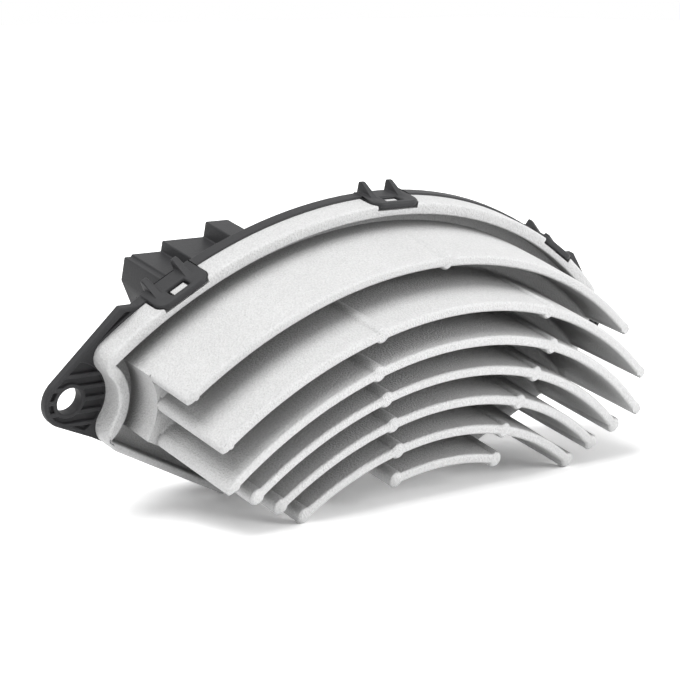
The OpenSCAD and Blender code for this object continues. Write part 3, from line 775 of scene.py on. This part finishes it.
    def _squared(self, u: float, v: float, half: float) -> tuple[float, float]:
        """Turns a place on the round end of a fin into one on a squarer end that is flush with its faces.

        Args:
            u: Place along the fin, from the column's axis outwards.
            v: Place across the fin.
            half: Half the thickness of the fin.

        Returns:
            The new place along and across the fin.
        """
        r = math.hypot(u, v)
        if r == 0.0:
            return u, v
        power = 2.0 / self.end_power
        along = r * (u / r) ** power
        across = r * math.copysign(abs(v / r) ** power, v)
        return along, across * half / self.column_r

    def _soften_end(self, piece: bpy.types.Object, fin: int, end: End) -> int:
        """Lets one end column of an outer fin run out flush with the fin's faces.

        Args:
            piece: The merged copy of the casting.
            fin: Number of the fin, 0 for the outermost one.
            end: The end of the fin.

        Returns:
            How many corners were moved.
        """
        r = self.fin_r - fin * self.fin_pitch
        angle = end.value * self._end_angle(r)
        out = Vector((math.sin(angle), 0.0, math.cos(angle)))
        along = Vector((math.cos(angle), 0.0, -math.sin(angle))) * end.value
        centre = out * r + Vector((0.0, 0.0, self.axis_z))
        moved = 0
        for vertex in piece.data.vertices:
            away = vertex.co - centre
            u, v = away.dot(along), away.dot(out)
            in_plate = fin == 0 and v > 0.0
            foot = self.plate_front_y + (self.column_foot if in_plate else -self.root_fillet)
            if math.hypot(u, v) > self.column_r + self.near or vertex.co.y > foot + self.near:
                continue
            half = self._half_thickness(vertex.co.y, self.soft_tips[fin])
            if u < 0.0:
                new_u, new_v = u, max(-half, min(half, v))
            else:
                new_u, new_v = self._squared(u, v, half)
            vertex.co += out * (new_v - v) + along * (new_u - u)
            moved += 1
        return moved

    def build(self, shop: FinishShop) -> bpy.types.Object:
        """Makes the dressed casting.

        Args:
            shop: The finishes.

        Returns:
            The finished piece.
        """
        piece = Bench.merged_copy("heat_sink", "cast_heat_sink")
        LOG.info("plate corners drawn in: %d", self._close_step(piece))
        for fin in range(len(self.soft_tips)):
            for end in End:
                LOG.info("fin end corners moved: %d", self._soften_end(piece, fin, end))
        for width, span in ((self.outer_round, self.outer_span), (self.inner_round, self.inner_span)):
            LOG.info("rim edges rounded: %d", self._weigh(piece, span))
            Bench.bevel(piece, width, self.round_steps)
        Bench.smooth(piece, self.smooth_angle)
        shop.dress(piece, Slot.CASTING)
        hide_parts("heat_sink")
        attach(piece, "root")
        return piece


@dataclass
class Housing:
    """Black moulding with softened edges.

    Attributes:
        edge_round: Rounding of its edges.
        loop_round: Rounding of the latch loops' edges.
        round_steps: Steps across a rounding.
        loop_y: The loops lie in front of this.
        sharp_angle: Edges over this angle are rounded, in degrees.
        smooth_angle: Edges under this angle are shaded smooth, in degrees.
    """

    edge_round: float = 0.25 * MM
    loop_round: float = 0.35 * MM
    round_steps: int = 3
    loop_y: float = -0.5 * MM
    sharp_angle: float = 35.0
    smooth_angle: float = 38.0

    def _weigh(self, piece: bpy.types.Object) -> int:
        """Gives every sharp edge a bevel weight, the full one along the latch loops.

        Args:
            piece: The merged copy of the moulding.

        Returns:
            How many edges were weighted.
        """
        mesh = piece.data
        weights = Bench.clear_weights(piece)
        sides: dict[tuple[int, int], list[Vector]] = {}
        for polygon in mesh.polygons:
            for key in polygon.edge_keys:
                sides.setdefault(key, []).append(polygon.normal)
        least = math.radians(self.sharp_angle)
        count = 0
        for edge in mesh.edges:
            normals = sides.get(edge.key, [])
            if len(normals) == 2 and normals[0].angle(normals[1], 0.0) > least:
                front = max(mesh.vertices[i].co.y for i in edge.vertices) < self.loop_y
                weights.data[edge.index].value = 1.0 if front else self.edge_round / self.loop_round
                count += 1
        return count

    def build(self, shop: FinishShop) -> bpy.types.Object:
        """Makes the dressed moulding.

        Args:
            shop: The finishes.

        Returns:
            The finished piece.
        """
        piece = Bench.merged_copy("housing", "moulded_housing")
        LOG.info("housing edges rounded: %d", self._weigh(piece))
        Bench.bevel(piece, self.loop_round, self.round_steps)
        Bench.smooth(piece, self.smooth_angle)
        shop.dress(piece, Slot.MOULDING)
        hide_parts("housing")
        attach(piece, "root")
        return piece


@dataclass
class Electronics:
    """Parts inside the housing and the contacts in its socket, which keep their solids.

    Attributes:
        outer_nodes: Nodes that have a piece of their own here.
    """

    outer_nodes: tuple[str, ...] = ("heat_sink", "housing")

    def build(self, shop: FinishShop) -> None:
        """Gives every inner node its finish.

        Args:
            shop: The finishes.
        """
        for part in frame["record"]["subparts"]:
            if part["node"] not in self.outer_nodes:
                shop.dress(frame["nodes"][part["node"]], Slot(part["material_slot"]))
                LOG.info("%s: %s", part["node"], part["material_slot"])


@dataclass(frozen=True)
class Lamp:
    """A lamp that is far away.

    Attributes:
        side: Direction that its light comes from.
        strength: Strength of its light.
        spread: Angle that it fills, in degrees.
    """

    side: tuple[float, float, float]
    strength: float
    spread: float


@dataclass
class Studio:
    """Camera, floor, lamps and world.

    Attributes:
        eye: Place of the camera.
        right: The camera's right.
        up: The camera's up.
        lens: Focal length, in millimetres.
        sensor: Width of the sensor, in millimetres.
        clip: Nearest and farthest place that the camera sees.
        floor_normal: Normal of the table that the part lies on.
        floor_distance: Distance of that table from the part's origin.
        floor_size: Length of its sides.
        floor_roughness: Its roughness.
        floor_tone: Its grey for the light it throws back, as linear colour.
        floor_shown: Its grey where it is seen; over 1, so that only its shadow stays under white.
        key: Key light, from above and behind on the left.
        fill: Fill light, from the front on the right.
        ambient: Strength of the world on the object.
        shown: Strength of the world where it is seen.
    """

    eye: tuple[float, float, float] = (-0.2506, -0.2591, 0.1391)
    right: tuple[float, float, float] = (0.7564, -0.6325, 0.1669)
    up: tuple[float, float, float] = (0.1103, 0.3748, 0.9205)
    lens: float = 112.7
    sensor: float = 36.0
    clip: tuple[float, float] = (0.01, 20.0)
    floor_normal: tuple[float, float, float] = (0.0, 0.255, 0.967)
    floor_distance: float = -20.87 * MM
    floor_size: float = 6.0
    floor_roughness: float = 0.9
    floor_tone: float = 0.92
    floor_shown: float = 1.5
    key: Lamp = Lamp(side=(-0.35, 0.26, 0.89), strength=2.1, spread=45.0)
    fill: Lamp = Lamp(side=(0.62, -0.66, 0.42), strength=1.75, spread=36.0)
    ambient: float = 0.42
    shown: float = 1.0

    def _camera(self) -> None:
        """Stands the camera where the photo was taken."""
        right, up = Vector(self.right), Vector(self.up)
        back = right.cross(up)
        turn = Matrix((right, up, back)).transposed()
        camera = bpy.data.objects.new("camera", bpy.data.cameras.new("camera"))
        camera.data.sensor_width = self.sensor
        camera.data.lens = self.lens
        camera.data.clip_start, camera.data.clip_end = self.clip
        camera.matrix_world = Matrix.Translation(self.eye) @ turn.to_4x4()
        bpy.context.scene.collection.objects.link(camera)
        bpy.context.scene.camera = camera

    def _lamps(self) -> None:
        """Hangs the key light and the fill light."""
        for name, lamp in (("key", self.key), ("fill", self.fill)):
            light = bpy.data.lights.new(name, "SUN")
            light.energy, light.angle = lamp.strength, math.radians(lamp.spread)
            holder = bpy.data.objects.new(name, light)
            holder.matrix_world = Vector(lamp.side).to_track_quat("Z", "Y").to_matrix().to_4x4()
            bpy.context.scene.collection.objects.link(holder)

    @staticmethod
    def _seen(tree: bpy.types.NodeTree, lit: float, shown: float) -> bpy.types.NodeSocket:
        """Picks one value for rays that light and another for rays that show, straight or in a reflection.

        Args:
            tree: The tree of the floor's material or of the world.
            lit: The value for rays that light.
            shown: The value for rays that show.

        Returns:
            The socket with the value.
        """
        path = tree.nodes.new("ShaderNodeLightPath")
        seen = path.outputs["Is Camera Ray"]
        for name in ("Is Glossy Ray", "Is Transmission Ray"):
            either = tree.nodes.new("ShaderNodeMath")
            either.operation = "MAXIMUM"
            tree.links.new(seen, either.inputs[0])
            tree.links.new(path.outputs[name], either.inputs[1])
            seen = either.outputs[0]
        value = tree.nodes.new("ShaderNodeMapRange")
        value.inputs["To Min"].default_value = lit
        value.inputs["To Max"].default_value = shown
        tree.links.new(seen, value.inputs["Value"])
        return value.outputs["Result"]

    def _floor(self) -> None:
        """Lays the white table, which is see-through from below."""
        normal = Vector(self.floor_normal).normalized()
        bpy.ops.object.select_all(action="DESELECT")
        bpy.ops.mesh.primitive_plane_add(size=self.floor_size)
        floor = bpy.context.object
        floor.name = "floor"
        turn = normal.to_track_quat("Z", "Y").to_matrix().to_4x4()
        floor.data.transform(Matrix.Translation(normal * self.floor_distance) @ turn)
        material = bpy.data.materials.new("white_table")
        material.use_nodes = True
        tree = material.node_tree
        shader = tree.nodes["Principled BSDF"]
        shader.inputs["Roughness"].default_value = self.floor_roughness
        shader.inputs["Specular IOR Level"].default_value = 0.0
        tone = self._seen(tree, self.floor_tone, self.floor_shown)
        tree.links.new(tone, shader.inputs["Base Color"])
        clear = tree.nodes.new("ShaderNodeBsdfTransparent")
        mix = tree.nodes.new("ShaderNodeMixShader")
        side = tree.nodes.new("ShaderNodeNewGeometry")
        tree.links.new(side.outputs["Backfacing"], mix.inputs["Fac"])
        tree.links.new(shader.outputs["BSDF"], mix.inputs[1])
        tree.links.new(clear.outputs["BSDF"], mix.inputs[2])
        tree.links.new(mix.outputs["Shader"], tree.nodes["Material Output"].inputs["Surface"])
        floor.data.materials.append(material)

    def _world(self) -> None:
        """Makes a world that is white where it is seen and softer where it lights."""
        world = bpy.data.worlds.new("studio")
        bpy.context.scene.world = world
        world.use_nodes = True
        tree = world.node_tree
        background = tree.nodes["Background"]
        background.inputs["Color"].default_value = (1.0, 1.0, 1.0, 1.0)
        tree.links.new(self._seen(tree, self.ambient, self.shown), background.inputs["Strength"])

    def build(self) -> None:
        """Sets up the whole studio."""
        bpy.context.scene.view_settings.view_transform = "Standard"
        self._camera()
        self._floor()
        self._lamps()
        self._world()


def main() -> None:
    """Builds the part and its studio."""
    logging.basicConfig(level=logging.INFO)
    shop = FinishShop()
    for maker in (HeatSink(), Housing()):
        piece = maker.build(shop)
        LOG.info("%s: %d faces", piece.name, len(piece.data.polygons))
    Electronics().build(shop)
    Studio().build()


if __name__ == "__main__":
    main()
